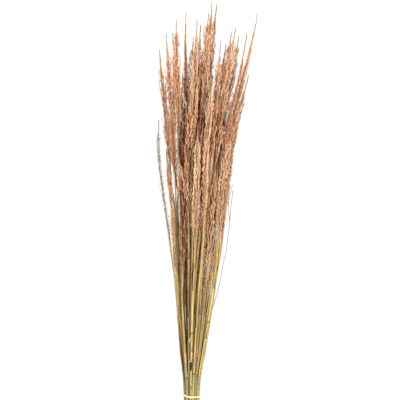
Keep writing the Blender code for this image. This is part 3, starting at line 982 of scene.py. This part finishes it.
def dried_chaff(name, stops):
    """Papery glumes of the spikelets, hung up to dry.

    They give the eye a dull coppery or tan husk: each spikelet a little paler at its tip, patches that have
    ripened more or less, painted shade that darkens the spikelets deep in the head and deep in the bundle,
    a greyer wisp at the tip of the head, and a paler and less ripe foot.
    """
    material, shader = new_material(name, 0.7, 0.15)
    tone, along, depth, rise, buried = [carried(material, key) for key in VALUES]
    grain = add(material, "ShaderNodeAttribute", attribute_name="grain").outputs["Vector"]
    # Patches 45 mm long, about as much of a head as ripens together
    patches = noise(material, object_place(material), 22.0, 3.0)
    # Streaks 1.1 mm wide and 9 mm long. The real husks are streaked at about 0.2 mm, too fine to show.
    streaks = noise(material, grain, 0.9, 2.0)
    colour = toned(material, tone, patches, 0.42, stops)
    tipped = tinted(material, colour, ranged(material, along, (0.2, 1.0), (0.0, 0.16)), "#F0D2A8")
    weathered = tinted(material, tipped, ranged(material, rise, (0.83, 0.96), (0.0, 0.9)), "#9A886A")
    unripe = tinted(material, weathered, foot_to_top(material, (-0.13, 0.08), (0.75, 0.0)), "#C2A482")
    # Painted shade: spikelets deep in the head and deep in the bundle are darkened towards a dark brown
    shade_amount = add(material, "ShaderNodeMath", {0: buried, 1: 0.8, 2: depth}, operation="MULTIPLY_ADD")
    painted_shade = ranged(material, shade_amount.outputs[0], (0.2, 0.8), (0.0, 1.0))
    deep = tinted(material, unripe, painted_shade, "#7E4428", "MULTIPLY")
    varied = shaded(material, deep, ranged(material, streaks, (0.3, 0.7), (0.75, 1.02)), 0.97)
    return finish(material, shader, varied, streaks, (0.6, 0.8), 0.3, 0.0003)


def elastic_latex():
    """Elastic band of undyed latex, dipped and cut.

    It gives the eye a pale cream ring with a soft gloss, a little uneven where it is stretched.
    """
    material, shader = new_material("dipped undyed latex", 0.45, 0.5)
    # Unevenness of 4 mm, about the width of the real band
    mottle = noise(material, object_place(material), 260.0, 3.0)
    colour = add(material, "ShaderNodeValToRGB", {"Fac": mottle}, stops=LATEX_TONES).outputs["Color"]
    return finish(material, shader, colour, mottle, (0.38, 0.55), 0.2, 0.0003)


# The bundle

def make_stalks():
    """Replace every stalk's solid with its finished stalk."""
    rng = np.random.default_rng(SEED)
    spikelet = model_spikelet()
    straw = dried_straw()
    copper = dried_chaff("air-dried copper chaff", COPPER_CHAFF)
    grey = dried_chaff("weathered grey-green chaff", GREY_GREEN_CHAFF)
    slots = {row["node"]: row["material_slot"] for row in frame["record"]["subparts"]}
    ways = [Way(name) for name in sorted(frame["nodes"]) if name.startswith("stalk_")]
    bury(ways)
    piles = {way.name: Pile() for way in ways}
    for way in ways:
        look = LOOKS[slots[way.name]]
        joints = add_culm(piles[way.name], way, look, rng)
        for index in range(BLADES):
            start, end = joints[index % len(joints)]
            root = end - BLADE_ROOT if index < len(joints) else rng.uniform(start, end)
            side = rng.uniform(0.0, math.tau)
            add_blade(piles[way.name], way, root, rng.uniform(*BLADE_LENGTHS), side, rng)
        add_head(piles[way.name], way, look, spikelet, rng)
    shoot = max(ways, key=lambda way: way.at(way.right, HAIR[0][1]))
    add_hair(piles[shoot.name], shoot, spikelet, rng)
    add_torn_bits(piles, ways)
    for name, pile in piles.items():
        slot = slots[name]
        stalk = pile.build(f"{name}_dried", (straw, grey if slot == "grey_green_grass" else copper))
        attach(stalk, "root")
        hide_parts(name)


def make_tie():
    """Round off the band: a merged copy of its solid, subdivided smooth."""
    source = frame["nodes"]["tie"]
    band = source.copy()
    band.data = source.data.copy()
    band.parent = None
    for key in list(band.keys()):
        del band[key]
    band.name = "tie_band"
    bpy.context.scene.collection.objects.link(band)
    edit(band)
    bpy.ops.mesh.remove_doubles(threshold=0.00001)
    bpy.ops.mesh.tris_convert_to_quads()
    bpy.ops.object.mode_set(mode="OBJECT")
    rounding = band.modifiers.new("rounding", "SUBSURF")
    rounding.levels = 2
    rounding.render_levels = 2
    bpy.ops.object.modifier_apply(modifier=rounding.name)
    band.data.shade_smooth()
    band.data.materials.clear()
    band.data.materials.append(elastic_latex())
    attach(band, "root")
    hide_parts("tie")


# Floor, light and camera

def make_floor():
    """A table that glows white from below, so that thin wisps stay clear and hardly any shadow shows."""
    deselect()
    bpy.ops.mesh.primitive_plane_add(size=12.0, location=(0.0, 0.0, 0.0))
    floor = bpy.context.object
    floor.name = "floor"
    material, shader = new_material("cast white acrylic, backlit", 0.9, 0.0)
    shader.inputs["Base Color"].default_value = linear("#4A4A48")
    shader.inputs["Emission Color"].default_value = (1.0, 1.0, 1.0, 1.0)
    shader.inputs["Emission Strength"].default_value = 0.93
    floor.data.materials.append(material)


def softbox(name, place, size, power):
    lamp = bpy.data.lights.new(name, "AREA")
    lamp.shape = "DISK"
    lamp.size = size
    lamp.energy = power
    holder = bpy.data.objects.new(name, lamp)
    holder.location = place
    holder.rotation_euler = (Vector(LIT_SPOT) - Vector(place)).to_track_quat("-Z", "Y").to_euler()
    bpy.context.scene.collection.objects.link(holder)


def make_light():
    """Soft studio light from all round, a key light from the right and a weaker one from the left."""
    world = bpy.data.worlds.new("studio")
    world.use_nodes = True
    background = world.node_tree.nodes["Background"]
    background.inputs["Color"].default_value = linear("#FFF5E6")
    background.inputs["Strength"].default_value = 0.66
    bpy.context.scene.world = world
    softbox("key", (1.05, 0.35, 1.95), 0.7, 62.0)
    softbox("fill", (-0.9, -0.3, 1.9), 1.4, 57.0)


def make_camera():
    """Look straight down from far above, so that the bundle shows as it stands in the photograph."""
    lens = bpy.data.cameras.new("camera")
    lens.sensor_fit = "HORIZONTAL"
    lens.sensor_width = SENSOR
    lens.lens = SENSOR * (CAMERA_HEIGHT - FOCUS_HEIGHT) / (PICTURE_PIXELS * PIXEL)
    lens.clip_end = 50.0
    holder = bpy.data.objects.new("camera", lens)
    right, up = PICTURE_MIDDLE
    holder.location = (right * MM, up * MM, CAMERA_HEIGHT * MM)
    bpy.context.scene.collection.objects.link(holder)
    bpy.context.scene.camera = holder
    bpy.context.scene.view_settings.view_transform = "Standard"


make_camera()
make_light()
make_floor()
make_stalks()
make_tie()
